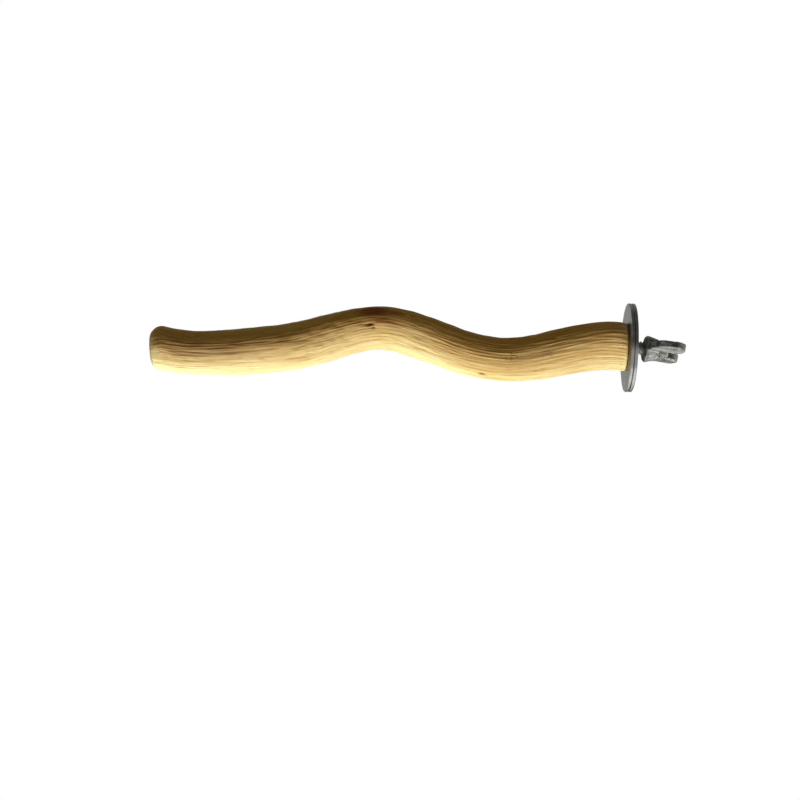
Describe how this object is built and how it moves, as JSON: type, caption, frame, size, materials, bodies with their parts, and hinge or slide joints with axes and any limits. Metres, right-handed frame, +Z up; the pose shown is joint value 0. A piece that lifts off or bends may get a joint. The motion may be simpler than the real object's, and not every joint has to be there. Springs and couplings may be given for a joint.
{
  "type": "bird perch",
  "caption": "Wavy peeled-branch bird perch; a threaded stud, wide washers and a wing nut clamp its sawn end to a cage's bars.",
  "frame": {"origin": "on the washers' axis, in the plane where the two washers meet and the cage's bars are pinched", "axes": "+X along the washers' axis, out of the wood towards the wing nut; +Z up; the branch runs along -X"},
  "size_m": [0.1502, 0.025, 0.025],
  "materials": {
    "peeled_wood": "bare, sanded",
    "zinc_steel": "bright zinc plating",
    "cast_zinc": "dull zinc plating on a casting"
  },
  "bodies": {
    "perch": {"perch_branch": "peeled_wood", "hanger_bolt": "zinc_steel"},
    "inner_washer": {"inner_washer": "zinc_steel"},
    "outer_washer": {"outer_washer": "zinc_steel"},
    "wing_nut": {"wing_nut": "cast_zinc"}
  },
  "joints": [
    {"name": "inner_washer_spin", "type": "hinge", "parent": "perch", "child": "inner_washer", "pos_m": [0, 0, 0], "axis": [1, 0, 0], "continuous": true},
    {"name": "outer_washer_slide", "type": "slide", "parent": "perch", "child": "outer_washer", "axis": [0.9936, 0, -0.1132], "range_m": [0, 0.0057]},
    {"name": "wing_nut_turn", "type": "hinge", "parent": "outer_washer", "child": "wing_nut", "pos_m": [0, 0, 0.0004], "axis": [0.9936, 0, -0.1132], "range_deg": [0, 2932]}
  ],
  "couplings": [
    {"joint": "wing_nut_turn", "follows": "outer_washer_slide", "rad_per_m": 8976}
  ]
}
